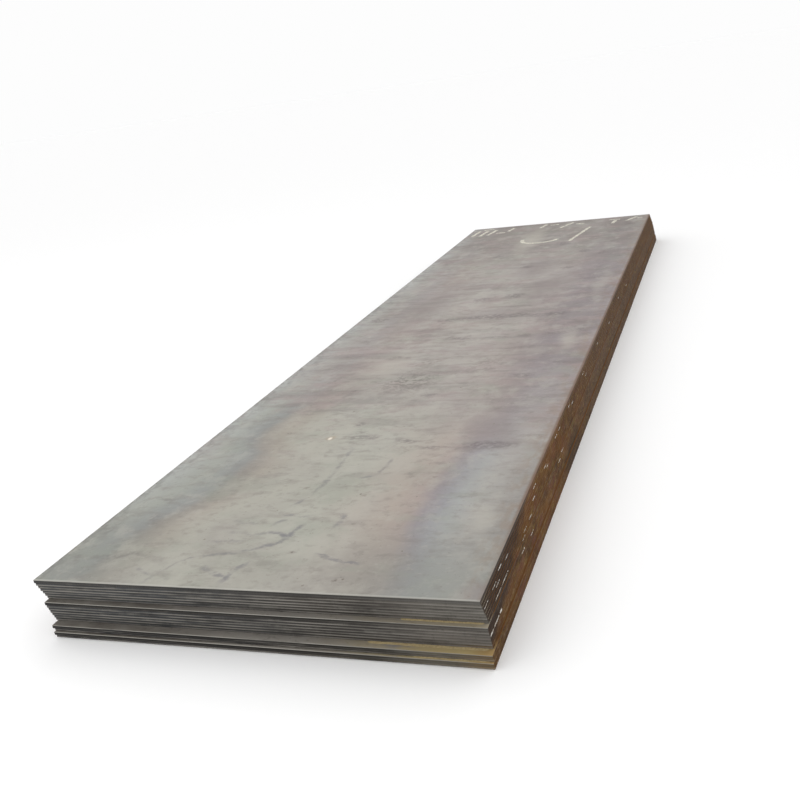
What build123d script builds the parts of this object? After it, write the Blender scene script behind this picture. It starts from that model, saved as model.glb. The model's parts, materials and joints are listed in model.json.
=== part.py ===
"""Stack of sheared hot-rolled steel plates, lying flat in three loose packs."""
from build123d import *
import os

# One plate, as rolled and sheared to size, in millimetres
plate_width = 1500.0
plate_length = 6000.0
plate_thickness = 12.0

# The shear rolls the upper edge over and leaves a small worn burr below
rollover_radius = 1.2
burr_chamfer = 0.5

# Mean air gap between two plates that lie on each other's high spots
plate_gap = 0.4

# Where each plate lies in its pack, from the top plate down, as it slid when the pack was set down.
# The first number is how far its front end is set back, the second how far it is shifted to the right,
# both from the pack's top plate.
upper_pack_slips = [(0.0, 0.0), (4.5, 1.2), (9.0, 2.6), (13.0, 3.9), (18.5, 5.4), (23.5, 6.6), (28.5, 8.0)]
middle_pack_slips = [
    (0.0, 0.0), (4.5, 0.0), (9.0, -0.3), (13.0, -0.2), (18.0, -0.6), (23.0, -0.4), (28.0, -0.8),
]
lower_pack_slips = [(0.0, 0.0), (8.0, 0.4), (-1.0, 1.0), (6.0, 0.6)]

# How far the top plate of each lower pack sticks out in front of the plate that lies on it, and how far it
# sticks out on the right
middle_pack_ledge = 22.5
middle_pack_step = 3.0
lower_pack_ledge = 31.0
lower_pack_step = 5.3

# Each plate lies a little more askew than the one above it, with its far end swung to the right, in degrees
skew_per_plate = -0.0147

packs = [
    (upper_pack_slips, 0.0, 0.0),
    (middle_pack_slips, middle_pack_ledge, middle_pack_step),
    (lower_pack_slips, lower_pack_ledge, lower_pack_step),
]


def make_plate():
    """Returns one plate with the middle of its lower front edge at the origin."""
    plate = Box(plate_width, plate_length, plate_thickness, align=(Align.CENTER, Align.MIN, Align.MIN))
    plate = fillet(plate.faces().sort_by(Axis.Z)[-1].edges(), rollover_radius)
    return chamfer(plate.faces().sort_by(Axis.Z)[0].edges(), burr_chamfer)


def stack_plates():
    """Returns the plates from the top one down, each placed in its pack, with the lowest on the ground."""
    plate = make_plate()
    plate_count = sum(len(slips) for slips, _, _ in packs)
    pitch = plate_thickness + plate_gap
    placed = []
    back_above = 0.0
    right_above = 0.0
    for slips, ledge, step in packs:
        set_back = back_above - ledge
        shift = right_above + step
        back_above = set_back + slips[-1][0]
        right_above = shift + slips[-1][1]
        for slip_back, slip_right in slips:
            level = (plate_count - 1 - len(placed)) * pitch
            skew = skew_per_plate * len(placed)
            place = Pos(shift, set_back, level) * Rot(0, 0, skew) * Pos(slip_right, slip_back, 0)
            placed.append(place * plate)
    return placed


def centre_on_ground(plates):
    """Returns the plates moved so that the origin is under the middle of the stack, on the ground."""
    boxes = [plate.bounding_box() for plate in plates]
    middle_x = (min(box.min.X for box in boxes) + max(box.max.X for box in boxes)) / 2
    middle_y = (min(box.min.Y for box in boxes) + max(box.max.Y for box in boxes)) / 2
    ground = min(box.min.Z for box in boxes)
    return [Pos(-middle_x, -middle_y, -ground) * plate for plate in plates]


os.makedirs("parts", exist_ok=True)
for number, plate in enumerate(centre_on_ground(stack_plates()), start=1):
    export_step(plate, f"parts/plate_{number:02d}.step")
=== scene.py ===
"""Looks of a stack of sheared hot-rolled steel plates, lying flat in three loose packs."""
import json
import logging
import math
import random
from collections.abc import Callable, Iterator
from contextlib import contextmanager
from dataclasses import dataclass
from enum import Enum
from typing import NamedTuple, Optional, Union

import bmesh
import bpy
from mathutils import Euler, Matrix, Vector


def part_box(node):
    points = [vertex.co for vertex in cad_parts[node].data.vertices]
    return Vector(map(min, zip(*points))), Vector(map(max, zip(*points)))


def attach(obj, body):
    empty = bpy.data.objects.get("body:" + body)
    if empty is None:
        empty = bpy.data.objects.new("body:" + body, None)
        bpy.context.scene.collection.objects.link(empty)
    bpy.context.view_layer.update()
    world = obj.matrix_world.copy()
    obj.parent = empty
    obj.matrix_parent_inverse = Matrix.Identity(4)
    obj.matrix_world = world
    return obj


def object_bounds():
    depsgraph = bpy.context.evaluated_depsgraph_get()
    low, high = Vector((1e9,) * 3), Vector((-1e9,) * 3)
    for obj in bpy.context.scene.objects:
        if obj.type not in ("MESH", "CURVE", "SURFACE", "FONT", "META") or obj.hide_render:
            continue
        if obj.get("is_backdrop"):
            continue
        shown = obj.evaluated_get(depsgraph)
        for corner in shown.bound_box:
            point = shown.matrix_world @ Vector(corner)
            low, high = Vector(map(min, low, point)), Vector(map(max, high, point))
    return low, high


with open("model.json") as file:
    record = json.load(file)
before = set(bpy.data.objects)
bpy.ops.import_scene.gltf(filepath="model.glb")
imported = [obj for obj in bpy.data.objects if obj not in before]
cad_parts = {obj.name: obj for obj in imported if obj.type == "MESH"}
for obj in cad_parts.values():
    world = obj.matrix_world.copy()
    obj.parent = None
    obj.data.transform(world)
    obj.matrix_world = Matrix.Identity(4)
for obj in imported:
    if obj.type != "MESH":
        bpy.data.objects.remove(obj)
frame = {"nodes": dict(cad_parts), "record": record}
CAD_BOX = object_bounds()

log = logging.getLogger("plate_stack")

MM = 0.001

# Node names of the plates, from the top one down
PLATE_NAMES = sorted(frame["nodes"])
TOP_PLATE = PLATE_NAMES[0]

# The top plate's front left corner, which every pattern and mark is placed from
CORNER_LOW, CORNER_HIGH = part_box(TOP_PLATE)
PLATE_CORNER = Vector((CORNER_LOW.x, CORNER_LOW.y, CORNER_HIGH.z))
PLATE_WIDTH = CORNER_HIGH.x - CORNER_LOW.x
PLATE_LENGTH = CORNER_HIGH.y - CORNER_LOW.y

# Height from one plate's underside to the next one's
PLATE_PITCH = CORNER_LOW.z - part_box(PLATE_NAMES[1])[0].z

# Shares of a strip's length: beyond the first its points belong to an end, below the second to its middle
END_SHARE = 0.49
MIDDLE_SHARE = 0.45

# Height of a mark's cone from which it covers as much as it may
FULL_CONE = 0.55

# Noise strays from its middle by about a quarter, and this factor brings that to one
NOISE_TO_ONE = 4.0

# Shift of the noise from one plate to the next, in metres, and a size at which it is even over one plate
PLATE_SHIFT = 3.7
EVEN_MM = 900

# How far to either side of a drift line its row of colours runs, in metres
BAND_REACH = 0.36

# The marks of a trail overlap a little, and they are wider than the core that shows
TRAIL_OVERLAP = 1.1
TRAIL_RIM = 1.4

Material = bpy.types.Material
Piece = bpy.types.Object
Socket = bpy.types.NodeSocket
Tree = bpy.types.NodeTree
Value = Union[float, int, bool, str, tuple, Socket]

COLOUR_MIX = {"data_type": "RGBA", "clamp_factor": True}
EASED = {"interpolation_type": "SMOOTHSTEP"}


class Slot(Enum):
    """Record slots that the pieces take their finish from."""

    TOP = "mill_scale_top"
    UPPER = "mill_scale_upper"
    MIDDLE = "mill_scale_middle"
    LOWER = "mill_scale_lower"


class Span(NamedTuple):
    """A stretch of a value, over which a mask goes smoothly from the height before it to its full height."""

    value: Socket
    start: float
    end: float
    full: float = 1.0
    before: float = 0.0


# Masks and spans of one layer, which are multiplied, and at the end its sRGB colour
Layer = tuple[Union[Span, Socket, str], ...]


def linear_colour(code: str) -> tuple[float, float, float, float]:
    """Turns an sRGB hex colour into the linear colour that shaders use.

    Args:
        code: Six hex digits, red, green and blue.

    Returns:
        Linear red, green, blue and an alpha of one.
    """
    channels = []
    for start in (0, 2, 4):
        share = int(code[start:start + 2], 16) / 255
        low = share / 12.92
        high = ((share + 0.055) / 1.055) ** 2.4
        channels.append(low if share <= 0.04045 else high)
    return (channels[0], channels[1], channels[2], 1.0)


def add_node(tree: Tree, kind: str, settings: dict[str, Value], links: dict[Union[str, int], Value],
             give: Optional[str] = None) -> Socket:
    """Adds one node with its settings, and fills its inputs with links or numbers.

    Args:
        tree: Node tree that the node goes into.
        kind: Blender's name of the node's type, without its first word.
        settings: Properties of the node, by name.
        links: Inputs of the node, by name or number, each with a socket to link or a value.
        give: Name of the output to return, or none for the first one in use.

    Returns:
        The chosen output of the new node.
    """
    node = tree.nodes.new("ShaderNode" + kind)
    for name, value in settings.items():
        setattr(node, name, value)
    for name, value in links.items():
        if isinstance(name, int):
            socket = node.inputs[name]
        else:
            socket = next(entry for entry in node.inputs if entry.name == name and entry.enabled)
        if isinstance(value, Socket):
            tree.links.new(value, socket)
        else:
            socket.default_value = value
    return node.outputs[give] if give else next((entry for entry in node.outputs if entry.enabled), None)


def make_material(name: str, draw: Callable[[Tree], dict[str, Value]]) -> Material:
    """Makes a material.

    Args:
        name: Its name.
        draw: Adds the nodes that it needs to a tree, and gives the inputs of its shader.

    Returns:
        The material.
    """
    material = bpy.data.materials.new(name)
    material.use_nodes = True
    tree = material.node_tree
    tree.nodes.clear()
    shader = add_node(tree, "BsdfPrincipled", {}, draw(tree))
    add_node(tree, "OutputMaterial", {}, {"Surface": shader})
    return material


@dataclass(frozen=True)
class Place:
    """Where a point of the stack is, in metres from the top plate's front left corner and the ground."""

    tree: Tree
    point: Socket
    across: Socket
    along: Socket
    height: Socket

    @classmethod
    def at(cls, tree: Tree, point: Socket) -> "Place":
        """Returns the place of a point, taken apart into its three numbers."""
        return cls(tree, point, *add_node(tree, "SeparateXYZ", {}, {0: point}).node.outputs)

    @classmethod
    def read(cls, tree: Tree) -> "Place":
        """Reads the place from the object coordinates.

        Args:
            tree: Node tree that the nodes go into.

        Returns:
            The place.
        """
        point = add_node(tree, "TexCoord", {}, {}, "Object")
        shift = (-PLATE_CORNER.x, -PLATE_CORNER.y, 0.0)
        return cls.at(tree, add_node(tree, "Mapping", {}, {"Vector": point, "Location": shift}))


def overlap(tree: Tree, *parts: Union[Span, Socket]) -> Socket:
    """Multiplies masks, so that they show only where all of them do.

    Args:
        tree: Node tree that the nodes go into.
        parts: Masks, and spans to draw as masks.

    Returns:
        The joined mask.
    """
    masks = []
    for part in parts:
        if isinstance(part, Span):
            numbers = {"Value": part.value, "From Min": part.start, "From Max": part.end,
                       "To Min": part.before, "To Max": part.full}
            part = add_node(tree, "MapRange", EASED, numbers)
        masks.append(part)
    joined = masks[0]
    for mask in masks[1:]:
        joined = add_node(tree, "Math", {"operation": "MULTIPLY"}, {0: joined, 1: mask})
    return joined


def lay_over(tree: Tree, ground: Value, layers: list[Layer]) -> Socket:
    """Lays colours over a ground, one after another.

    Args:
        tree: Node tree that the nodes go into.
        ground: Colour that lies lowest.
        layers: Layers, from the lowest up.

    Returns:
        The colour that shows in the end.
    """
    for *masks, code in layers:
        links = {"Factor": overlap(tree, *masks), "A": ground, "B": linear_colour(code)}
        ground = add_node(tree, "Mix", COLOUR_MIX, links)
    return ground


def with_stops(colour: Socket, stops: list[tuple[float, str]]) -> Socket:
    """Sets the row of colours that a share from 0 to 1 runs through.

    Args:
        colour: Output of the node that holds the row.
        stops: Place of each stop, from 0 to 1, and its sRGB colour.

    Returns:
        The same output.
    """
    row = colour.node.color_ramp.elements
    while len(row) < len(stops):
        row.new(1.0)
    for element, (spot, code) in zip(row, stops):
        element.position = spot
        element.color = linear_colour(code)
    return colour


def clouds(place: Place, size_mm: tuple[float, ...], start: float, end: float, strength: float = 1.0,
           seed: float = 0.0, detail: float = 4.0) -> Socket:
    """Makes a cloudy mask whose patches have a real size.

    Args:
        place: Place on the stack.
        size_mm: Size of the patches across, along and up, in millimetres.
        start: Level of the noise where the mask is still nothing.
        end: Level of the noise where the mask is full.
        strength: Height of the full mask.
        seed: Shift of the noise, so that two masks differ.
        detail: How many finer layers are laid over the first.

    Returns:
        The mask, from 0 to the strength.
    """
    scale = tuple(1000.0 / size for size in size_mm)
    shift = (seed, seed * 0.7, seed * 1.3)
    shifted = add_node(place.tree, "Mapping", {}, {"Vector": place.point, "Scale": scale, "Location": shift})
    links = {"Vector": shifted, "Scale": 1.0, "Detail": detail, "Roughness": 0.6}
    return overlap(place.tree, Span(add_node(place.tree, "TexNoise", {}, links), start, end, strength))


def warped(place: Place, size_mm: float, reach_mm: float) -> Place:
    """Pushes places about in the plane of the plate, so that what is drawn on them gets uneven edges.

    Args:
        place: Place on the stack.
        size_mm: Size of the waves.
        reach_mm: How far a place is pushed at most.

    Returns:
        The pushed place.
    """
    links = {"Vector": place.point, "Scale": 1000.0 / size_mm, "Detail": 4.0, "Roughness": 0.65}
    field = add_node(place.tree, "TexNoise", {}, links, "Color")
    centred = add_node(place.tree, "VectorMath", {"operation": "SUBTRACT"}, {0: field, 1: (0.5, 0.5, 0.5)})
    reach = NOISE_TO_ONE * reach_mm * MM
    links = {0: centred, 1: (reach, reach, 0.0), 2: place.point}
    return Place.at(place.tree, add_node(place.tree, "VectorMath", {"operation": "MULTIPLY_ADD"}, links))


def drift_line(place: Place, points: tuple[tuple[float, float], ...]) -> Socket:
    """Makes a smooth line that wanders across the plate on its way along it.

    Args:
        place: Place on the stack.
        points: Points of the line, along and across, in metres.

    Returns:
        How far across the line is, in metres.
    """
    share = add_node(place.tree, "Math", {"operation": "DIVIDE"}, {0: place.along, 1: PLATE_LENGTH})
    line = add_node(place.tree, "FloatCurve", {}, {"Value": share})
    mapping = line.node.mapping
    curve = mapping.curves[0]
    while len(curve.points) < len(points):
        curve.points.new(0.5, 0.5)
    for point, (forward, sideways) in zip(curve.points, points):
        point.location = (forward / PLATE_LENGTH, sideways / PLATE_WIDTH)
    mapping.update()
    return add_node(place.tree, "Math", {"operation": "MULTIPLY"}, {0: line, 1: PLATE_WIDTH})


@dataclass(frozen=True)
class Surface:
    """What one kind of face gives to the shader."""

    colour: Socket
    relief: Socket
    roughness: Socket


@dataclass(frozen=True)
class Stain:
    """One dark or light mark on the open face, in millimetres from its front left corner."""

    across: float
    along: float
    reach_across: float
    reach_along: float
    strength: float
    turn: float = 0.0

    def mask(self, place: Place) -> Socket:
        """Draws the mark as a cone that fades to nothing at the rim of an oval.

        Args:
            place: Place on the plate, pushed about so that the oval gets an uneven edge.

        Returns:
            The mask, which is as high as the strength in the middle.
        """
        links = {"Vector": place.point}
        cone = add_node(place.tree, "TexGradient", {"gradient_type": "SPHERICAL"}, links, "Fac")
        oval = cone.node.texture_mapping
        oval.vector_type = "TEXTURE"
        oval.translation = (self.across * MM, self.along * MM, PLATE_CORNER.z + 1.0 - self.strength)
        oval.rotation = (0.0, 0.0, math.radians(self.turn))
        oval.scale = (self.reach_across * MM, self.reach_along * MM, 1.0)
        return cone


def stains(*rows: tuple[float, ...]) -> list[Stain]:
    """Makes one mark of each row of numbers."""
    return [Stain(*row) for row in rows]


def trails(*rows: tuple[float, float, list[tuple[float, float]]]) -> list[Stain]:
    """Makes rows of long marks, each of which follows a bent line.

    Args:
        rows: For each line half its width and its strength, and its corners, across and along, in
            millimetres.

    Returns:
        One mark for each stretch of a line.
    """
    marks = []
    for reach, strength, points in rows:
        for (x0, y0), (x1, y1) in zip(points, points[1:]):
            length = math.hypot(x1 - x0, y1 - y0)
            turn = math.degrees(math.atan2(y1 - y0, x1 - x0))
            oval = (length * TRAIL_OVERLAP, reach * TRAIL_RIM)
            marks.append(Stain((x0 + x1) / 2, (y0 + y1) / 2, *oval, strength, turn))
    return marks


def strongest(place: Place, marks: list[Stain], full: float) -> Socket:
    """Draws many marks, of which the strongest shows at each place.

    Args:
        place: Place on the plate, pushed about so that the marks get uneven edges.
        marks: Marks to draw.
        full: How much of the ground the strongest marks cover.

    Returns:
        The joined mask.
    """
    joined = marks[0].mask(place)
    for mark in marks[1:]:
        joined = add_node(place.tree, "Math", {"operation": "MAXIMUM"}, {0: joined, 1: mark.mask(place)})
    return overlap(place.tree, Span(joined, 0.0, FULL_CONE, full))


# Branching dark veins that dried water left near the front end
WATER_VEINS = trails(
    (9, 0.26, [(405, 5), (430, 85), (465, 155)]),
    (11, 0.32, [(465, 155), (510, 185), (585, 210)]),
    (14, 0.46, [(585, 210), (650, 225), (695, 255), (745, 280), (770, 325), (770, 370), (785, 415)]),
    (15, 0.48, [(685, 360), (730, 355), (770, 328)]),
    (13, 0.30, [(530, 355), (580, 355), (630, 340), (685, 355)]),
    (15, 0.42, [(675, 30), (680, 95), (705, 155)]),
    (15, 0.38, [(560, 120), (605, 100), (630, 85), (665, 72)]),
    (14, 0.28, [(490, 285), (550, 292), (620, 295)]),
    (13, 0.28, [(330, 100), (370, 80), (410, 65)]),
    (15, 0.36, [(675, 415), (705, 450)]),
    (15, 0.34, [(680, 485), (730, 485), (780, 475)]),
    (13, 0.28, [(510, 440), (565, 420), (620, 420)]),
    (15, 0.32, [(680, 555), (710, 610)]),
    (14, 0.32, [(722, 662), (730, 843), (722, 963), (719, 1054), (700, 1084)]),
    (15, 0.36, [(905, 410), (910, 460), (903, 504)]),
    (14, 0.30, [(850, 790), (903, 813), (921, 903), (918, 963)]),
    (12, 0.38, [(920, 228), (965, 205), (1025, 180), (1082, 178)]),
)

# Dark marks across the plate where bearers and roller ends left damp lines
CROSS_STAINS = stains(
    (705, 1190, 150, 60, 0.40), (760, 1180, 70, 50, 0.42), (690, 1240, 60, 30, 0.30),
    (1046, 1072, 160, 30, 0.42), (1270, 1087, 170, 72, 0.50), (930, 1130, 80, 44, 0.50),
    (1180, 1065, 90, 32, 0.32), (660, 1325, 64, 40, 0.46), (225, 180, 180, 34, 0.34),
    (60, 150, 60, 80, 0.28), (60, 330, 60, 120, 0.26), (173, 451, 66, 46, 0.28),
    (150, 610, 90, 18, 0.28), (220, 2313, 200, 40, 0.28), (534, 2262, 160, 40, 0.34),
    (450, 1700, 40, 90, 0.28), (450, 1765, 24, 24, 0.38), (858, 1680, 70, 36, 0.34),
    (750, 2569, 130, 44, 0.46), (1114, 2570, 80, 38, 0.34), (1280, 2590, 90, 50, 0.42),
    (1415, 2620, 80, 60, 0.38), (950, 2560, 160, 30, 0.34), (900, 2982, 560, 90, 0.50),
    (1204, 2975, 110, 60, 0.54), (600, 2960, 170, 48, 0.38), (135, 3050, 100, 64, 0.56),
    (888, 3456, 110, 80, 0.60), (677, 3411, 90, 70, 0.54), (1114, 3276, 100, 110, 0.26),
    (1234, 1921, 80, 66, 0.50), (1279, 2192, 50, 60, 0.32), (1385, 2102, 76, 40, 0.38),
    (1100, 4167, 90, 70, 0.40), (817, 4267, 66, 60, 0.46), (1330, 3800, 180, 56, 0.38),
    (483, 4733, 70, 90, 0.42), (1150, 4683, 76, 66, 0.42), (150, 4600, 56, 130, 0.32),
    (933, 5017, 90, 90, 0.54), (1283, 4600, 66, 200, 0.32), (1350, 5667, 76, 170, 0.34),
    (1300, 5400, 76, 140, 0.42),
)

# Small dark spots, most of them where drops stood
SPOTS = stains(
    (1038, 75, 15, 17, 0.50), (828, 233, 14, 16, 0.32), (677, 700, 16, 24, 0.36),
    (918, 647, 18, 20, 0.36), (965, 435, 14, 14, 0.40), (1140, 800, 14, 12, 0.38),
    (430, 830, 12, 10, 0.32), (570, 30, 14, 16, 0.40),
)

# Broad patches where the scale is a little darker, and where it is a little paler
BROAD_SHADES = stains(
    (370, 3350, 300, 900, 0.40), (1060, 3650, 220, 800, 0.48), (900, 4200, 260, 560, 0.46),
    (1230, 1250, 170, 340, 0.46), (900, 3050, 420, 240, 0.36), (1240, 4500, 150, 900, 0.34),
    (1090, 3850, 160, 800, 0.30), (1475, 40, 100, 120, 0.40), (530, 380, 220, 340, 0.20),
    (1310, 1130, 110, 190, 0.40),
)
BROAD_GLEAMS = stains(
    (640, 5250, 170, 900, 0.40), (530, 2150, 240, 420, 0.32), (620, 1250, 120, 300, 0.20),
    (1390, 3700, 90, 900, 0.24), (1370, 2450, 100, 320, 0.36), (290, 1350, 120, 520, 0.24),
    (1240, 2280, 110, 200, 0.26), (1400, 480, 100, 220, 0.32),
)

# Where the scale has broken into fine light and dark grains
GRAINY_PATCHES = stains(
    (700, 1880, 260, 300, 0.34), (690, 2170, 180, 200, 0.24), (1000, 2080, 240, 300, 0.22),
)

# A brown blot with a pale chip in it, where the scale was knocked off
BLOT = stains((577, 1180, 34, 44, 0.5))
CHIP = stains((573, 1175, 13, 22, 0.6))


@dataclass(frozen=True)
class OpenFace:
    """Mill scale on the face that lies open: rolled at red heat and cooled in air.

    The scale is a thin brittle oxide, so it shows as a dull warm grey. It cooled faster along the edges,
    which left a grey-green strip on the left and a brown and violet band on the right.
    """

    left_line: tuple[tuple[float, float], ...] = (
        (0.0, 0.15), (0.35, 0.20), (0.75, 0.31), (0.95, 0.31),
        (1.25, 0.22), (1.6, 0.28), (3.2, 0.25), (6.0, 0.28))
    right_line: tuple[tuple[float, float], ...] = (
        (0.0, 1.24), (0.25, 1.22), (0.5, 1.17), (1.0, 1.19),
        (1.5, 1.27), (2.3, 1.25), (3.5, 1.29), (6.0, 1.30))

    def draw(self, place: Place) -> Surface:
        """Draws the face.

        Args:
            place: Place on the stack.

        Returns:
            Its colour, relief and roughness.
        """
        broken = warped(place, 30.0, 9.0)
        ragged = warped(place, 150.0, 34.0)
        beyond = overlap(place.tree, Span(place.along, 0.7, 1.6))
        colour = lay_over(place.tree, self.bands(place), [
            (clouds(place, (420, 600, 500), 0.44, 0.68, 0.36, 5.0), "8a847f"),
            (clouds(place, (240, 150, 90), 0.46, 0.64, 0.55, 17.0, 5.0), beyond, "988885"),
            (clouds(place, (230, 170, 90), 0.50, 0.68, 0.34, 19.0, 5.0), "8c9184"),
            (clouds(place, (420, 90, 90), 0.46, 0.68, 0.42, 13.0), beyond, "736a68"),
            (clouds(place, (130, 56, 90), 0.50, 0.70, 0.32, 21.0, 5.0), "766f6a"),
            (clouds(place, (110, 150, 90), 0.48, 0.70, 0.36, 23.0, 5.0), "b0aca2"),
            (clouds(place, (46, 38, 40), 0.52, 0.70, 0.30, 29.0), "746e68"),
            (clouds(place, (30, 24, 20), 0.54, 0.72, 0.20, 33.0, 3.0), "b0aca2"),
            (clouds(place, (12, 14, 13), 0.66, 0.76, 0.40, 37.0, 2.0), "6a625c"),
            (strongest(ragged, BROAD_SHADES, 0.70), "857b79"),
            (strongest(ragged, BROAD_GLEAMS, 0.70), "b4afa4"),
            (strongest(ragged, GRAINY_PATCHES, 0.75),
             clouds(place, (26, 22, 20), 0.48, 0.58, 1.0, 15.0, 2.0), "605a55"),
            (strongest(ragged, CROSS_STAINS, 0.60),
             clouds(place, (24, 19, 30), 0.32, 0.60, 1.0, 9.0, 5.0), "5b5053"),
            (strongest(broken, WATER_VEINS, 0.78),
             clouds(place, (60, 40, 60), 0.30, 0.60, 1.0, 11.0, 6.0), "66646b"),
            (strongest(broken, SPOTS, 0.40), "57463f"),
            (strongest(broken, BLOT, 0.42), "a2886c"),
            (strongest(place, CHIP, 0.82), "ece4d6"),
        ] + self.rims(place))
        relief = clouds(place, (26, 34, 26), 0.3, 0.7, 0.7, 41.0, 5.0)
        dull = clouds(place, (260, 420, 260), 0.35, 0.65, 1.0, 47.0)
        rough = add_node(place.tree, "MapRange", {}, {"Value": dull, "To Min": 0.46, "To Max": 0.62})
        return Surface(colour, relief, rough)

    def bands(self, place: Place) -> Socket:
        """Draws the long bands that the cooling left.

        Args:
            place: Place on the stack.

        Returns:
            The colour of the bands.
        """
        tree = place.tree
        pushed = warped(place, 420.0, 32.0)
        shares = []
        for line in (self.left_line, self.right_line):
            links = {0: pushed.across, 1: drift_line(pushed, line)}
            distance = add_node(tree, "Math", {"operation": "SUBTRACT"}, links)
            links = {"Value": distance, "From Min": -BAND_REACH, "From Max": BAND_REACH}
            shares.append(add_node(tree, "MapRange", {}, links))
        left = with_stops(add_node(tree, "ValToRGB", {}, {"Fac": shares[0]}), [
            (0.00, "959791"), (0.30, "95978f"), (0.42, "8c8e8a"), (0.49, "858683"), (0.55, "8c877f"),
            (0.64, "9c958a"), (0.80, "a5a297"), (1.00, "a8a69b")])
        right = with_stops(add_node(tree, "ValToRGB", {}, {"Fac": shares[1]}), [
            (0.00, "a8a69b"), (0.20, "a9a298"), (0.34, "a4998f"), (0.43, "a0938c"), (0.50, "8e878a"),
            (0.56, "929194"), (0.64, "9c9d9b"), (0.74, "a19e99"), (0.86, "95918c"), (1.00, "8a8580")])
        half = overlap(tree, Span(place.across, 0.55, 0.85))
        colour = add_node(tree, "Mix", COLOUR_MIX, {"Factor": half, "A": left, "B": right})
        links = {0: pushed.across, 1: 0.6, 2: pushed.along}
        slant = add_node(tree, "Math", {"operation": "MULTIPLY_ADD"}, links)
        offset = add_node(tree, "Math", {"operation": "SUBTRACT"}, {0: place.across, 1: 0.66})
        outside = add_node(tree, "Math", {"operation": "ABSOLUTE"}, {0: offset})
        return lay_over(tree, colour, [
            (Span(place.along, 0.60, 0.0, 0.70), Span(outside, 0.1, 0.6), "82847e"),
            (Span(slant, 1.5, 2.3, 0.60), "a09692"),
            (Span(pushed.across, 1.03, 1.27, 0.85), Span(place.along, 0.9, 2.4), "82787a"),
            (Span(place.along, 3.9, 5.4, 0.80), "7b736d"),
            (Span(place.across, 0.16, 0.0, 0.8), Span(place.along, 0.3, 1.1), "aaaca9"),
        ])

    def rims(self, place: Place) -> list[Layer]:
        """Draws the outermost millimetres: a painted highlight along the front arris, nicked on the left,
        rusty on the right.

        Args:
            place: Place on the stack.

        Returns:
            Layers to lay over the face.
        """
        return [
            (Span(place.across, 0.11, 0.0), clouds(place, (34, 60, 34), 0.46, 0.62, 0.45, 55.0), "6b6a66"),
            (Span(place.across, 1.39, 1.49),
             clouds(place, (40, 90, 50), 0.44, 0.64, 0.40, 57.0, 5.0), "86715e"),
            # Painted highlight along the front arris of the open face
            (Span(place.along, 0.010, 0.003, 0.55), "b3b2aa"),
            (Span(place.across, 0.012, 0.004, 0.55),
             clouds(place, (9, 26, 9), 0.45, 0.60, 1.0, 53.0, 3.0), "54504b"),
            (Span(place.across, PLATE_WIDTH - 0.016, PLATE_WIDTH - 0.003, 0.80),
             Span(place.along, 0.2, 0.8, before=0.25), "6b4a32"),
        ]


@dataclass(frozen=True)
class LedgeFace:
    """The strip of a lower plate's face that sticks out under the pack above.

    Rain washes dust and rust down onto it, so it is duller than the cut edges, ochre towards the right, and
    as brown as the long sides where it runs along them. It is paler than the cut edges, partly from that
    dust and partly as painted light that stands in for the sky light on its upward face.
    """

    ochre: float

    def draw(self, place: Place) -> Surface:
        """Draws the face.

        Args:
            place: Place on the stack.

        Returns:
            Its colour, relief and roughness.
        """
        dust = clouds(place, (160, 60, 60), 0.3, 0.7, 1.0, 51.0, 5.0)
        drift = clouds(place, (90, 40, 40), 0.26, 0.52, 1.0, 57.0, 5.0)
        ground = with_stops(add_node(place.tree, "ValToRGB", {}, {"Fac": dust}),
                            [(0.0, "67625c"), (0.5, "76716a"), (1.0, "85817a")])
        colour = lay_over(place.tree, ground, [
            # Painted light: paler from a third of the way across onwards, standing in for the sky light on
            # the ledge
            (Span(place.across, 0.35, 0.75, 0.7), "97928b"),
            (clouds(place, (20, 14, 14), 0.55, 0.75, 0.4, 59.0, 3.0), "514c46"),
            (Span(place.across, 0.90, 1.48, self.ochre), drift, "b29f70"),
            (Span(place.height, 0.08, 0.06), Span(place.across, 1.43, 1.50, 0.6), "98774a"),
            (Span(place.across, PLATE_WIDTH - 0.004, PLATE_WIDTH + 0.002),
             Span(place.along, 0.03, 0.10), "765230"),
        ])
        rough = add_node(place.tree, "MapRange", {}, {"Value": dust, "To Min": 0.65, "To Max": 0.85})
        return Surface(colour, drift, rough)


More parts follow.
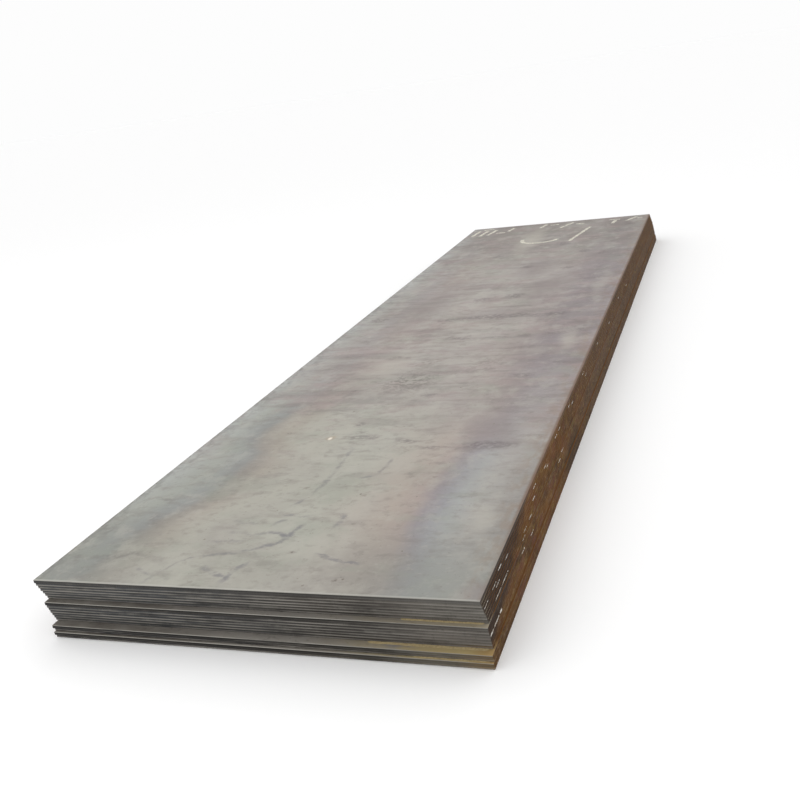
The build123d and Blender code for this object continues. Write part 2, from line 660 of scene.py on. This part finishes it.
@dataclass(frozen=True)
class ShearedEdge:
    """The cut edge of a plate: a smooth burnished strip that the blade left, and a torn strip.

    The front ends are dull blue-grey with fine lines of painted highlight and painted shade, one set to a
    plate, and the long sides have rusted to a dark reddish brown with streaks that ran down.
    """

    grey: tuple[str, str, str, str]
    top_of_pack: bool = False

    def draw(self, place: Place, sideways: Socket) -> Surface:
        """Draws the edges.

        Args:
            place: Place on the stack.
            sideways: One on the long sides and zero on the ends.

        Returns:
            Their colour, relief and roughness.
        """
        tree = place.tree
        level = add_node(tree, "Math", {"operation": "DIVIDE"}, {0: place.height, 1: PLATE_PITCH})
        number = add_node(tree, "Math", {"operation": "FLOOR"}, {0: level})
        share = add_node(tree, "Math", {"operation": "FRACT"}, {0: level})
        apart = add_node(tree, "Math", {"operation": "MULTIPLY"}, {0: number, 1: PLATE_SHIFT})
        own = Place.at(tree, add_node(tree, "CombineXYZ", {}, {0: place.across, 1: place.along, 2: apart}))
        links = {"Factor": sideways, "A": self.front(place, own), "B": self.side(place, own)}
        colour = add_node(tree, "Mix", COLOUR_MIX, links)
        colour = lay_over(tree, colour, self.rows(own, share, sideways))
        torn = clouds(place, (4, 4, 30), 0.3, 0.7, 1.0, 71.0)
        rough = add_node(tree, "MapRange", {}, {"Value": sideways, "To Min": 0.55, "To Max": 0.85})
        return Surface(colour, torn, rough)

    def front(self, place: Place, own: Place) -> Socket:
        """Draws the ends.

        Args:
            place: Place on the stack.
            own: Place that differs from plate to plate.

        Returns:
            Their colour.
        """
        left, middle, dark, right = self.grey
        links = {"Value": warped(own, 300.0, 45.0).across, "From Max": PLATE_WIDTH}
        share = add_node(place.tree, "MapRange", {}, links)
        ground = with_stops(add_node(place.tree, "ValToRGB", {}, {"Fac": share}), [
            (0.0, left), (0.30, left), (0.52, middle), (0.66, dark),
            (0.78, dark), (0.90, right), (1.0, right)])
        return lay_over(place.tree, ground, [
            (clouds(own, (240, 240, EVEN_MM), 0.46, 0.66, 0.50, 61.0, 5.0), "2b2927"),
            (clouds(own, (130, 130, EVEN_MM), 0.50, 0.70, 0.50, 63.0, 5.0), "6f6c66"),
            (clouds(place, (9, 9, 90), 0.55, 0.72, 0.25, 65.0, 3.0), "211f1d"),
            (Span(place.height, 0.070, 0.045, 0.60), Span(place.across, 1.38, 1.50), "836942"),
        ])

    def side(self, place: Place, own: Place) -> Socket:
        """Draws the long sides.

        Args:
            place: Place on the stack.
            own: Place that differs from plate to plate.

        Returns:
            Their colour.
        """
        tree = place.tree
        rust = clouds(place, (400, 340, 80), 0.30, 0.70, 1.0, 67.0, 6.0)
        ground = with_stops(add_node(tree, "ValToRGB", {}, {"Fac": rust}),
                            [(0.0, "41301e"), (0.35, "573c20"), (0.65, "644323"), (1.0, "6d4d30")])
        links = {0: place.along, 1: -0.26, 2: place.height}
        slant = add_node(tree, "Math", {"operation": "MULTIPLY_ADD"}, links)
        wavy = clouds(place, (60, 120, 60), 0.3, 0.7, 0.03, 72.0)
        slant = add_node(tree, "Math", {"operation": "SUBTRACT"}, {0: slant, 1: wavy})
        links = {"Vector": warped(place, 200.0, 50.0).point, "Location": (PLATE_WIDTH, 1.46, 0.03),
                 "Scale": (1.0, 0.34, 0.10)}
        oval = add_node(tree, "Mapping", {"vector_type": "TEXTURE"}, links)
        distance = add_node(tree, "VectorMath", {"operation": "LENGTH"}, {0: oval}, "Value")
        return lay_over(tree, ground, [
            (clouds(place, (50, 90, 110), 0.50, 0.68, 0.45, 73.0, 5.0), "36281c"),
            (clouds(place, (110, 150, 60), 0.48, 0.66, 0.38, 74.0, 5.0), "73552a"),
            (clouds(place, (90, 120, 50), 0.50, 0.68, 0.60, 76.0, 5.0), "684338"),
            (clouds(own, (120, 120, EVEN_MM), 0.50, 0.70, 0.18, 75.0, 5.0), "6b4626"),
            (clouds(own, (60, 60, EVEN_MM), 0.54, 0.70, 0.22, 77.0, 5.0), "2c2019"),
            (Span(place.along, 0.42, 0.08, 0.45), "3a2a1a"),
            (Span(place.along, 1.2, 2.4, 0.60), "50463e"),
            (clouds(place, (30, 60, 16), 0.52, 0.66, 0.34, 79.0), "83703f"),
            (clouds(place, (30, 50, 14), 0.52, 0.66, 0.36, 80.0), "4b342f"),
            (clouds(place, (20, 34, 9), 0.56, 0.68, 0.45, 78.0, 3.0), "8d7659"),
            (Span(slant, 0.015, 0.060, 0.85), "322924"),
            (clouds(place, (30, 60, 9), 0.58, 0.70, 0.50, 83.0, 3.0), "6f6259"),
            (Span(distance, 1.0, 0.3, 0.60), "3a322b"),
        ])

    def rows(self, own: Place, share: Socket, sideways: Socket) -> list[Layer]:
        """Draws what repeats on every plate: a painted highlight on the lower burr, painted shade in the
        seam and under the plate above, and on pack tops a painted highlight on the upper edge, which is
        partly burnished.

        Args:
            own: Place that differs from plate to plate.
            share: How high up in its plate a point is, from 0 to 1.
            sideways: One on the long sides and zero on the ends.

        Returns:
            Layers to lay over the edges.
        """
        painted_shadow_start = 0.99 if self.top_of_pack else 0.60
        # Bands: a painted highlight on the lower burr, painted shade in the seam between plates, painted
        # shadow under the plate above, and on pack tops a painted highlight on the partly burnished upper
        # edge
        bands = [
            ((0.46, 0.34), 0.75, 0.10, "8a867f", 260.0, (0.28, 0.62)),
            ((0.16, 0.04), 0.92, 0.36, "141210", 180.0, (0.10, 0.40)),
            ((painted_shadow_start, 0.97), 0.80, 0.18, "1d1b19", 220.0, (0.15, 0.50)),
        ]
        if self.top_of_pack:
            bands.append(((0.74, 0.90), 0.90, 0.12, "a9a69e", 220.0, (0.22, 0.50)))
        # The painted highlights and shade grow fainter towards the right end
        fainter_to_right = overlap(own.tree, Span(own.across, 0.95, 1.30, 0.62, before=1.0))
        layers = []
        for (start, end), strength, on_side, code, size, (low, high) in bands:
            calm = add_node(own.tree, "MapRange", {}, {"Value": sideways, "To Min": 1.0, "To Max": on_side})
            breaks = clouds(own, (size, size, EVEN_MM), low, high, 1.0, 81.0 + size)
            layers.append((Span(share, start, end, strength), breaks, calm, fainter_to_right, code))
        return layers


@dataclass(frozen=True)
class PlateSteel:
    """Hot-rolled and sheared steel plate: mill scale on the faces, bare cut steel on the edges."""

    face: Union[OpenFace, LedgeFace]
    edge: ShearedEdge
    gloss: float = 0.08
    relief_depth: float = 0.0012

    def draw(self, tree: Tree) -> dict[str, Value]:
        """Draws the faces and the edges, and picks from them by the way the surface faces.

        Args:
            tree: Node tree that the nodes go into.

        Returns:
            The inputs of the shader.
        """
        place = Place.read(tree)
        facing = add_node(tree, "NewGeometry", {}, {}, "Normal")
        normal = add_node(tree, "SeparateXYZ", {}, {0: facing}).node.outputs
        sidelong = add_node(tree, "Math", {"operation": "ABSOLUTE"}, {0: normal[0]})
        upward = overlap(tree, Span(normal[2], 0.75, 0.95))
        sideways = overlap(tree, Span(sidelong, 0.45, 0.55))
        face = self.face.draw(place)
        edge = self.edge.draw(place, sideways)
        colour = add_node(tree, "Mix", COLOUR_MIX, {"Factor": upward, "A": edge.colour, "B": face.colour})
        relief = add_node(tree, "Mix", {}, {"Factor": upward, "A": edge.relief, "B": face.relief})
        rough = add_node(tree, "Mix", {}, {"Factor": upward, "A": edge.roughness, "B": face.roughness})
        links = {"Strength": 0.5, "Distance": self.relief_depth, "Height": relief}
        bump = add_node(tree, "Bump", {}, links)
        return {"Base Color": colour, "Roughness": rough, "Normal": bump, "Metallic": 0.0,
                "Specular IOR Level": self.gloss}


@dataclass
class PlateStack:
    """The plates themselves, whose shapes come with the frame."""

    pack_tops: tuple[str, ...] = ("plate_08", "plate_15", "plate_17")

    def dress(self) -> list[Piece]:
        """Gives every plate its steel.

        Returns:
            The plates, from the top one down.
        """
        greys = {
            Slot.UPPER: ("474849", "4a4846", "45413d", "635f59"),
            Slot.MIDDLE: ("404142", "464544", "3e3b38", "625d57"),
            Slot.LOWER: ("323235", "403e3c", "45413b", "6b6558"),
        }
        open_steel = PlateSteel(OpenFace(), ShearedEdge(greys[Slot.UPPER], True), 0.3)
        open_plate = make_material("mill_scale_steel_open_face", open_steel.draw)
        steels = {}
        for pack, grey in greys.items():
            for on_top in (False, True):
                ochre = 0.95 if pack is Slot.LOWER else 0.35
                name = "_".join((pack.value, "ledge_and_edge" if on_top else "edge"))
                steel = PlateSteel(LedgeFace(ochre), ShearedEdge(grey, on_top))
                steels[pack, on_top] = make_material(name, steel.draw)
        slots = {part["node"]: part["material_slot"] for part in frame["record"]["subparts"]}
        plates = [frame["nodes"][name] for name in PLATE_NAMES]
        for name, plate in zip(PLATE_NAMES, plates):
            plate.data.materials.clear()
            if name == TOP_PLATE:
                plate.data.materials.append(open_plate)
            else:
                plate.data.materials.append(steels[Slot(slots[name]), name in self.pack_tops])
        return plates


@contextmanager
def editing(piece: Piece) -> Iterator[None]:
    """Opens one piece in edit mode with all of it selected, and closes it afterwards.

    Args:
        piece: Piece to shape.
    """
    bpy.ops.object.select_all(action="DESELECT")
    piece.select_set(True)
    bpy.context.view_layer.objects.active = piece
    bpy.ops.object.mode_set(mode="EDIT")
    bpy.ops.mesh.select_mode(type="VERT")
    bpy.ops.mesh.select_all(action="SELECT")
    yield
    bpy.ops.object.mode_set(mode="OBJECT")


def pick(piece: Piece, wanted: Callable[[Vector], bool]) -> None:
    """Selects the points of a piece in edit mode that pass a test.

    Args:
        piece: Piece in edit mode.
        wanted: Test on the place of a point.
    """
    bpy.ops.mesh.select_all(action="DESELECT")
    shape = bmesh.from_edit_mesh(piece.data)
    for vertex in shape.verts:
        if wanted(vertex.co):
            vertex.select_set(True)
    shape.select_flush(True)
    bmesh.update_edit_mesh(piece.data)


def start_box(size: tuple[float, float, float]) -> Piece:
    """Adds a box around the origin to shape a piece from.

    Args:
        size: Width, length and height, in metres.

    Returns:
        The box, selected alone.
    """
    bpy.ops.object.select_all(action="DESELECT")
    bpy.ops.mesh.primitive_cube_add(size=1.0, scale=size)
    bpy.ops.object.transform_apply(location=False, rotation=False, scale=True)
    return bpy.context.object


def cut_across(piece: Piece, cuts: int) -> None:
    """Divides the long edges of a box, so that it can bend.

    Args:
        piece: Box that lies along Y, in edit mode.
        cuts: Number of new rings of points.
    """
    bpy.ops.mesh.select_mode(type="EDGE")
    bpy.ops.mesh.select_all(action="DESELECT")
    shape = bmesh.from_edit_mesh(piece.data)
    for edge in shape.edges:
        first, second = (vertex.co for vertex in edge.verts)
        edge.select_set(abs(first.y - second.y) > 0.9 * (first - second).length)
    bmesh.update_edit_mesh(piece.data)
    bpy.ops.mesh.subdivide(number_cuts=cuts)
    bpy.ops.mesh.select_mode(type="VERT")
    bpy.ops.mesh.select_all(action="SELECT")


def lay_copy(model: Piece, name: str, place: Matrix) -> Piece:
    """Copies a modelled shape with its own mesh, and puts the copy in its place.

    Args:
        model: Shape to copy.
        name: Name of the copy.
        place: Where it goes, how it is turned and how it is scaled.

    Returns:
        The copy.
    """
    copy = model.copy()
    copy.data = model.data.copy()
    copy.name = copy.data.name = name
    copy.data.transform(place)
    bpy.context.scene.collection.objects.link(copy)
    return copy


def gather(parts: list[Piece], name: str, slot: Slot) -> Piece:
    """Joins small parts into one piece and says what it rides on.

    Args:
        parts: Parts to join.
        name: Name of the piece.
        slot: Not used.

    Returns:
        The piece.
    """
    bpy.ops.object.select_all(action="DESELECT")
    for part in parts:
        part.select_set(True)
    bpy.context.view_layer.objects.active = parts[0]
    if len(parts) > 1:
        bpy.ops.object.join()
    piece = bpy.context.view_layer.objects.active
    piece.name = piece.data.name = name
    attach(piece, "root")
    return piece


def on_face(across_mm: float, along_mm: float, up: float = 0.0) -> Vector:
    """Returns a point of the open face, from its distances to the front left corner."""
    return PLATE_CORNER + Vector((across_mm * MM, along_mm * MM, up))


def heading(run: Vector) -> Matrix:
    """Returns the level turn that points a piece along a run when it lies along Y."""
    return Matrix.Rotation(math.atan2(run.y, run.x) - math.pi / 2, 4, "Z")


@dataclass(frozen=True)
class Corners:
    """Three upright corners of one plate, and its lowest and highest level."""

    front_left: Vector
    front_right: Vector
    far_right: Vector
    low: float
    high: float

    @classmethod
    def read(cls, name: str) -> "Corners":
        """Reads the corners from a plate's own mesh.

        Args:
            name: Node name of the plate.

        Returns:
            Its corners.
        """
        points = [vertex.co for vertex in frame["nodes"][name].data.vertices]
        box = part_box(name)
        front_left = min(points, key=lambda point: point.x + point.y)
        front_right = max(points, key=lambda point: point.x - point.y)
        far_right = max(points, key=lambda point: point.x + point.y)
        return cls(front_left, front_right, far_right, box[0].z, box[1].z)


def between(start: Vector, end: Vector, distance: float, level: float) -> Vector:
    """Finds a point on the way from one corner to another.

    Args:
        start: Corner to set out from.
        end: Corner to go towards.
        distance: How far to go, in metres.
        level: Height of the point.

    Returns:
        The point.
    """
    point = start.lerp(end, distance / (end - start).length)
    return Vector((point.x, point.y, level))


@dataclass(frozen=True)
class SmallFinish:
    """Finish of a small loose piece: one ground with specks of another colour in it."""

    name: str
    ground: str
    speck: str
    speck_mm: float
    roughness: float
    metallic: float = 0.0
    grain_depth: float = 0.0005

    def draw(self, tree: Tree) -> dict[str, Value]:
        """Draws the specks and a fine grain.

        Args:
            tree: Node tree that the nodes go into.

        Returns:
            The inputs of the shader.
        """
        place = Place.read(tree)
        specks = clouds(place, (self.speck_mm,) * 3, 0.42, 0.62, 1.0, 91.0, 3.0)
        colour = lay_over(tree, linear_colour(self.ground), [(specks, self.speck)])
        grain = clouds(place, (self.speck_mm / 3,) * 3, 0.3, 0.7, 1.0, 93.0, 2.0)
        links = {"Strength": 0.4, "Distance": self.grain_depth, "Height": grain}
        bump = add_node(tree, "Bump", {}, links)
        return {"Base Color": colour, "Roughness": self.roughness, "Metallic": self.metallic, "Normal": bump}

    def material(self) -> Material:
        """Makes the material."""
        return make_material(self.name, self.draw)


# Dry chalk rubs off in grains, so its strokes are dull, off-white and let the steel show through
CHALK = SmallFinish("dry_chalk", "dedacc", "a9a498", 14.0, 0.95)

# A burr that was bent and rubbed after the rain is bare steel, and its near-white colour is partly a painted
# glint
GLINT_PAINTED_BURR = SmallFinish("bare_steel_burr_painted_glint", "e6e3dc", "a08e7a", 12.0, 0.40, 1.0)

# Fine rust that the rain carried down dries to a dull ochre powder
RUST_DUST = SmallFinish("ochre_rust_dust", "b8a67c", "a5916a", 6.0, 0.95)

# Flakes of scale that sprang off lie loose, dark and slightly shiny
LOOSE_SCALE = SmallFinish("loose_mill_scale", "6f665e", "837a70", 5.0, 0.5)


@dataclass
class BurrSlivers:
    """Thin slivers of bare steel that the shear tore along the right side, whose near-white colour paints
    their glints in broken lines.
    """

    length: float = 0.10
    height: float = 0.0026
    thickness: float = 0.0014
    fleck: float = 0.045
    seed: int = 11

    def model(self) -> Piece:
        """Shapes one sliver: a bent strip that thins out to points at its ends.

        Returns:
            The sliver, along Y around the origin.
        """
        sliver = start_box((self.thickness, self.length, self.height))
        with editing(sliver):
            cut_across(sliver, 6)
            for side in (-1, 1):
                pick(sliver, lambda point: point.y * side > END_SHARE * self.length)
                tip = (0.0, side * self.length / 2, -self.height * 0.3)
                bpy.ops.transform.resize(value=(0.3, 1.0, 0.15), center_override=tip)
            pick(sliver, lambda point: abs(point.y) < MIDDLE_SHARE * self.length)
            bpy.ops.transform.vertex_random(offset=self.height * 0.18, uniform=0.3, seed=self.seed)
        bevel = sliver.modifiers.new("worn", "BEVEL")
        bevel.width = self.thickness * 0.1
        bevel.limit_method = "ANGLE"
        bpy.ops.object.modifier_apply(modifier=bevel.name)
        return sliver

    def runs(self) -> list[tuple[str, float, float, float, float]]:
        """Lists the glints: two broken lines and many short flecks.

        Returns:
            For each its plate, its start and end in metres, and the scale of its slivers along and up.
        """
        flecks = [
            (3, 0.01), (3, 0.11), (4, 0.14), (3, 0.28), (2, 0.20), (9, 0.45), (7, 0.47),
            (6, 0.51), (6, 0.60), (10, 0.59), (4, 0.70), (2, 0.75), (3, 0.94), (4, 0.97),
            (9, 1.16), (2, 1.20), (8, 1.24), (2, 1.28), (2, 1.53), (3, 1.60), (2, 1.95),
            (4, 2.00), (3, 2.45), (5, 2.90), (4, 3.40), (6, 3.80),
        ]
        runs = [("plate_06", 0.10, 0.27, 1.0, 1.2), ("plate_10", 0.005, 0.15, 0.7, 2.3)]
        for number, along in flecks:
            runs.append((PLATE_NAMES[number - 1], along, along + self.fleck, 0.5, 1.0))
        return runs

    def build(self) -> list[Piece]:
        """Lays copies of the sliver along the lower edges of the plates that show glints.

        Returns:
            One piece of slivers on each of the two upper packs.
        """
        draw = random.Random(self.seed)
        model = self.model()
        # Near-white finish: bare steel with a painted glint
        model.data.materials.append(GLINT_PAINTED_BURR.material())
        laid = {Slot.UPPER: [], Slot.MIDDLE: []}
        for name, along, end, scale, breadth in self.runs():
            corners = Corners.read(name)
            while along < end:
                share = min(scale * draw.uniform(0.55, 1.0), (end - along) / self.length)
                length = self.length * share
                level = corners.low + self.height * 0.3
                spot = between(corners.front_right, corners.far_right, along + length / 2, level)
                spot.x += self.thickness * 0.3
                lean = Matrix.Rotation(math.radians(draw.uniform(-8.0, 8.0)), 4, "Y")
                size = Matrix.Diagonal((1.0, share, breadth * draw.uniform(0.7, 1.1), 1.0))
                pack = Slot.UPPER if name < "plate_08" else Slot.MIDDLE
                laid[pack].append(lay_copy(model, "sliver", Matrix.Translation(spot) @ lean @ size))
                along += length + draw.uniform(0.002, 0.006)
        bpy.data.objects.remove(model)
        return [gather(parts, "burr_slivers_" + pack.name.lower(), pack) for pack, parts in laid.items()]


@dataclass
class LooseScale:
    """Flakes of mill scale that sprang off and lie on the open face."""

    radius: float = 0.005
    thickness: float = 0.0003
    sink: float = 0.0001
    seed: int = 5

    def model(self) -> Piece:
        """Shapes one flake: a thin chip with a ragged outline and a smaller upper face.

        Returns:
            The flake, with its underside at the origin.
        """
        bpy.ops.object.select_all(action="DESELECT")
        bpy.ops.mesh.primitive_circle_add(vertices=9, radius=self.radius, fill_type="NGON")
        flake = bpy.context.object
        with editing(flake):
            bpy.ops.transform.vertex_random(offset=self.radius * 0.4, uniform=0.0, seed=self.seed)
            bpy.ops.transform.resize(value=(1.0, 1.0, 0.0), center_override=(0.0, 0.0, 0.0))
            bpy.ops.mesh.extrude_region_move(TRANSFORM_OT_translate={"value": (0.0, 0.0, self.thickness)})
            bpy.ops.transform.resize(value=(0.82, 0.86, 1.0), center_override=(0.0, 0.0, self.thickness))
            bpy.ops.mesh.select_all(action="SELECT")
            bpy.ops.mesh.normals_make_consistent(inside=False)
        return flake

    def build(self) -> Piece:
        """Lays the flakes on the open face.

        Returns:
            The flakes, as one piece.
        """
        draw = random.Random(self.seed)
        model = self.model()
        model.data.materials.append(LOOSE_SCALE.material())
        spots = [
            (1042, 76), (1062, 84), (828, 232), (950, 40), (1190, 260), (640, 520), (905, 655), (470, 300),
            (300, 720), (1120, 640), (1240, 1310), (560, 1490), (980, 1770), (350, 1240), (1060, 2320),
        ]
        flakes = []
        for across, along in spots:
            place = Matrix.Translation(on_face(across, along, -self.sink))
            turn = Matrix.Rotation(draw.uniform(0.0, math.tau), 4, "Z")
            size = Matrix.Diagonal((draw.uniform(0.5, 1.2), draw.uniform(0.5, 1.2), 1.0, 1.0))
            flakes.append(lay_copy(model, "flake", place @ turn @ size))
        bpy.data.objects.remove(model)
        return gather(flakes, "loose_mill_scale_flakes", Slot.TOP)


@dataclass
class DustDrift:
    """Ochre rust dust that the rain swept into the corner between a ledge and the ends above it."""

    ledge: str
    wall: str
    start: float
    end: float
    depth: float = 0.012
    height: float = 0.0030
    sink: float = 0.0002
    reach_in: float = 0.001
    toe_wander: float = 0.0022
    crest_wander: float = 0.0012

    def build(self) -> Piece:
        """Shapes one drift: a low uneven wedge along the ledge.

        Returns:
            The drift.
        """
        slope = Corners.read(self.wall)
        shelf = Corners.read(self.ledge)
        length = self.end - self.start
        floor = (0.0, 0.0, -self.height / 2)
        drift = start_box((self.depth, length, self.height))
        with editing(drift):
            cut_across(drift, 40)
            pick(drift, lambda point: point.x < 0 and point.z > 0)
            bpy.ops.transform.translate(value=(0.0, 0.0, -0.96 * self.height))
            for side in (-1, 1):
                pick(drift, lambda point: point.y * side > END_SHARE * length)
                tip = (self.depth / 2, side * length / 2, -self.height / 2)
                bpy.ops.transform.resize(value=(0.4, 1.0, 0.1), center_override=tip)
            pick(drift, lambda point: point.x < 0 and abs(point.y) < MIDDLE_SHARE * length)
            bpy.ops.transform.vertex_random(offset=self.toe_wander, uniform=0.2, seed=3)
            pick(drift, lambda point: point.x < 0)
            bpy.ops.transform.resize(value=(1.0, 1.0, 0.1), center_override=floor)
            pick(drift, lambda point: point.x > 0 and point.z > 0 and abs(point.y) < MIDDLE_SHARE * length)
            bpy.ops.transform.vertex_random(offset=self.crest_wander, uniform=0.2, seed=8)
            pick(drift, lambda point: point.z < -0.3 * self.height)
            bpy.ops.transform.resize(value=(1.0, 1.0, 0.0), center_override=floor)
        soft = drift.modifiers.new("soft", "SUBSURF")
        soft.levels = soft.render_levels = 1
        bpy.ops.object.modifier_apply(modifier=soft.name)
        level = shelf.high + self.height / 2 - self.sink
        middle = between(slope.front_left, slope.front_right, (self.start + self.end) / 2, level)
        middle.y += self.reach_in - self.depth / 2
        turn = heading(slope.front_right - slope.front_left)
        drift.data.transform(Matrix.Translation(middle) @ turn @ Matrix.Diagonal((-1.0, 1.0, 1.0, 1.0)))
        with editing(drift):
            bpy.ops.mesh.normals_make_consistent(inside=False)
        drift.data.materials.append(RUST_DUST.material())
        slot = Slot.MIDDLE if self.ledge < "plate_15" else Slot.LOWER
        return gather([drift], "rust_dust_on_" + self.ledge, slot)


@dataclass
class ChalkStrokes:
    """Plain chalk strokes near the far end of the open face: one bow, one long stroke and short ticks."""

    width: float = 0.025
    thickness: float = 0.0002
    bend_every: float = 0.03
    end_face: float = 0.004

    def stroke(self, start: tuple[float, float], end: tuple[float, float], seed: int) -> Piece:
        """Shapes one straight stroke with ragged sides.

        Args:
            start: Where it starts, across and along the plate, in millimetres.
            end: Where it ends.
            seed: Seed of its ragged sides.

        Returns:
            The stroke, in its place.
        """
        first, second = on_face(*start), on_face(*end)
        run = second - first
        bar = start_box((self.width, run.length, self.width))
        with editing(bar):
            cut_across(bar, max(1, round(run.length / self.bend_every)))
            bpy.ops.transform.vertex_random(offset=self.width * 0.2, uniform=0.1, seed=seed)
            for side in (-1, 1):
                pick(bar, lambda point: point.z * side > 0)
                flat = (0.0, 0.0, side * self.thickness / 2)
                bpy.ops.transform.resize(value=(1.0, 1.0, 0.0), center_override=flat)
        bar.data.transform(Matrix.Translation((first + second) / 2) @ heading(run))
        return bar

    def bow(self, middle: tuple[float, float], radius: float, start: float, sweep: float) -> Piece:
        """Shapes a bowed stroke by spinning its end face around a point.

        Args:
            middle: Middle of the bow, across and along the plate, in millimetres.
            radius: Its radius, in metres.
            start: Direction of its first end, in degrees.
            sweep: How far it turns, in degrees.

        Returns:
            The bow, in its place.
        """
        bow = start_box((1.3 * self.width, self.end_face, self.thickness))
        bow.data.transform(Matrix.Translation((radius, 0.0, 0.0)))
        with editing(bow):
            pick(bow, lambda point: point.y > 0)
            turn = math.radians(-sweep)
            bpy.ops.mesh.spin(steps=16, angle=turn, center=(0.0, 0.0, 0.0), axis=(0.0, 0.0, 1.0))
            bpy.ops.mesh.select_all(action="SELECT")
            bpy.ops.mesh.remove_doubles(threshold=0.00001)
            bpy.ops.mesh.normals_make_consistent(inside=False)
        turn = Matrix.Rotation(math.radians(start), 4, "Z")
        bow.data.transform(Matrix.Translation(on_face(*middle)) @ turn)
        return bow

    def build(self) -> Piece:
        """Draws the strokes.

        Returns:
            All strokes, as one piece.
        """
        strokes = [self.stroke((965, 5110), (1055, 5650), 21), self.bow((715, 5280), 0.15, 170.0, 170.0)]
        ticks = [
            ((55, 5660), (75, 5880)), ((100, 5920), (190, 5930)), ((125, 5640), (150, 5860)),
            ((190, 5660), (225, 5880)), ((250, 5720), (330, 5730)), ((350, 5765), (375, 5900)),
            ((620, 5790), (650, 5930)), ((690, 5880), (760, 5890)), ((800, 5720), (880, 5920)),
            ((915, 5840), (985, 5815)), ((1180, 5890), (1270, 5880)), ((1225, 5720), (1240, 5845)),
            ((1330, 5790), (1400, 5930)), ((1410, 5860), (1450, 5880)),
        ]
        strokes += [self.stroke(start, end, seed) for seed, (start, end) in enumerate(ticks, start=30)]
        finish = CHALK.material()
        for part in strokes:
            part.data.materials.append(finish)
        return gather(strokes, "chalk_strokes", Slot.TOP)


@dataclass
class Studio:
    """Pale floor, soft light and the camera."""

    floor_size: float = 400.0
    eye: tuple[float, float, float] = (2.182, -2.143, 1.363)
    yaw: float = 21.04
    pitch: float = -18.67
    roll: float = -8.61
    lens: float = 42.53
    aim: tuple[float, float, float] = (0.0, -1.0, 0.1)

    def floor(self) -> None:
        """Lays the pale floor, whose matt white paint takes a soft shadow and throws no glare."""
        bpy.ops.object.select_all(action="DESELECT")
        bpy.ops.mesh.primitive_plane_add(size=self.floor_size, location=(0, 0, 0))
        plane = bpy.context.object
        plane.name = "pale_floor"
        paint = {"Base Color": linear_colour("ffffff"), "Roughness": 0.9, "Specular IOR Level": 0.1}
        plane.data.materials.append(make_material("matt_white_floor_paint", lambda tree: paint))
        plane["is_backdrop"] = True

    def lamp(self, name: str, spot: tuple[float, float, float], size: tuple[float, float],
             energy: float) -> None:
        """Hangs one large soft lamp that faces the front half of the stack.

        Args:
            name: Name of the lamp.
            spot: Where it hangs, in metres.
            size: Width and height of its opening, in metres.
            energy: Its power, in watts.
        """
        lamp = bpy.data.lights.new(name, "AREA")
        lamp.shape = "RECTANGLE"
        lamp.size, lamp.size_y = size
        lamp.energy = energy
        holder = bpy.data.objects.new(name, lamp)
        holder.location = spot
        holder.rotation_euler = (Vector(self.aim) - Vector(spot)).to_track_quat("-Z", "Y").to_euler()
        bpy.context.scene.collection.objects.link(holder)

    def light(self) -> None:
        """Sets an even sky and two soft lamps."""
        world = bpy.data.worlds.new("studio")
        bpy.context.scene.world = world
        world.use_nodes = True
        world.node_tree.nodes.clear()
        sky = {"Color": linear_colour("fdfdfd"), "Strength": 1.0}
        sky = add_node(world.node_tree, "Background", {}, sky)
        add_node(world.node_tree, "OutputWorld", {}, {"Surface": sky})
        self.lamp("soft_box_left", (-4.0, -3.0, 6.0), (7.0, 7.0), 70.0)
        self.lamp("soft_box_front", (-1.5, -7.0, 1.6), (5.0, 2.0), 25.0)

    def camera(self) -> None:
        """Places the camera where the photograph was taken from."""
        data = bpy.data.cameras.new("camera")
        data.sensor_fit = "HORIZONTAL"
        data.sensor_width = 36.0
        data.lens = self.lens
        data.clip_end = 500.0
        camera = bpy.data.objects.new("camera", data)
        camera.location = PLATE_CORNER + Vector(self.eye)
        turn = Euler((math.radians(90 + self.pitch), 0, math.radians(self.yaw)), "XYZ").to_matrix()
        tilt = Euler((0, 0, math.radians(self.roll)), "XYZ").to_matrix()
        camera.rotation_euler = (turn @ tilt).to_euler()
        bpy.context.scene.collection.objects.link(camera)
        bpy.context.scene.camera = camera


def write_sizes() -> None:
    """Gathers the frame's box and the dressed model's box as plain numbers, without writing them."""
    boxes = {"cad": CAD_BOX, "visual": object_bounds()}
    plain = {name: [[float(number) for number in corner] for corner in box] for name, box in boxes.items()}


def main() -> None:
    """Builds the scene."""
    logging.basicConfig(level=logging.INFO, format="%(message)s")
    bpy.context.scene.view_settings.view_transform = "Standard"
    studio = Studio()
    studio.floor()
    studio.light()
    studio.camera()
    for plate in PlateStack().dress():
        log.info("dressed %s", plate.name)
    made = BurrSlivers().build()
    made.append(LooseScale().build())
    made.append(ChalkStrokes().build())
    made.append(DustDrift("plate_08", "plate_07", 1.24, 1.49, 0.009, 0.0022).build())
    made.append(DustDrift("plate_15", "plate_14", 1.12, 1.49).build())
    made.append(DustDrift("plate_17", "plate_16", 1.26, 1.49, 0.006, 0.0020).build())
    for piece in made:
        log.info("built %s with %d faces", piece.name, len(piece.data.polygons))
    write_sizes()


if __name__ == "__main__":
    main()
